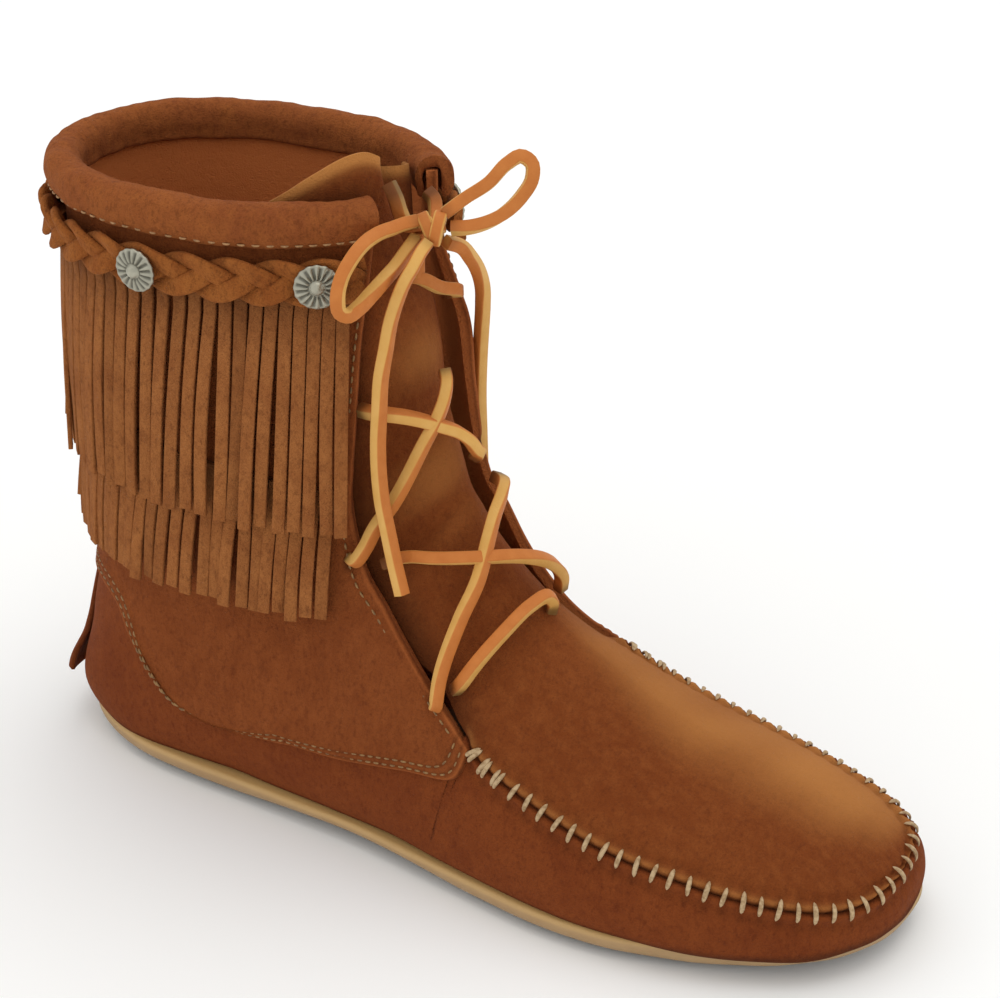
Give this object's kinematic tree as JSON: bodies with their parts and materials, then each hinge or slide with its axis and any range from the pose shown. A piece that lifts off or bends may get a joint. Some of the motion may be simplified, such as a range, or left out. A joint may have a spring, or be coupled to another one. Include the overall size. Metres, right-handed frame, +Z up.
{
  "type": "moccasin ankle boot",
  "caption": "Soft suede moccasin ankle boot for the right foot, with a puckered toe seam, rolled cuff, braid, fringe and tied rawhide laces.",
  "frame": {"origin": "on the floor under the middle of the heel, at the flat bottom of a heel lug", "axes": "+X towards the toe, +Y to the inner side of the foot, +Z up"},
  "size_m": [0.2641, 0.0965, 0.2007],
  "materials": {
    "rubber": "smooth caramel rubber, semi-matt",
    "footbed": "plain brown leather",
    "suede": "brown suede with a soft brushed nap",
    "braid": "plaited brown suede",
    "fringe": "cut brown suede strips",
    "button": "antique silver, fluted and domed",
    "lace": "golden tan rawhide, smooth grain side and suede flesh side"
  },
  "bodies": {
    "root": {"outsole": "rubber", "insole": "footbed", "upper": "suede", "tongue": "suede", "heel_tab": "suede", "cuff": "suede", "braid": "braid", "fringe_short": "fringe", "fringe_long": "fringe", "concho_outer_front": "button", "concho_outer_back": "button", "concho_inner_back": "button", "concho_inner_front": "button", "lace_crossings": "lace", "lace_top": "lace", "lace_knot": "lace", "lace_loop_back": "lace", "lace_loop_front": "lace", "lace_end_front": "lace", "lace_end_back": "lace"}
  },
  "joints": []
}
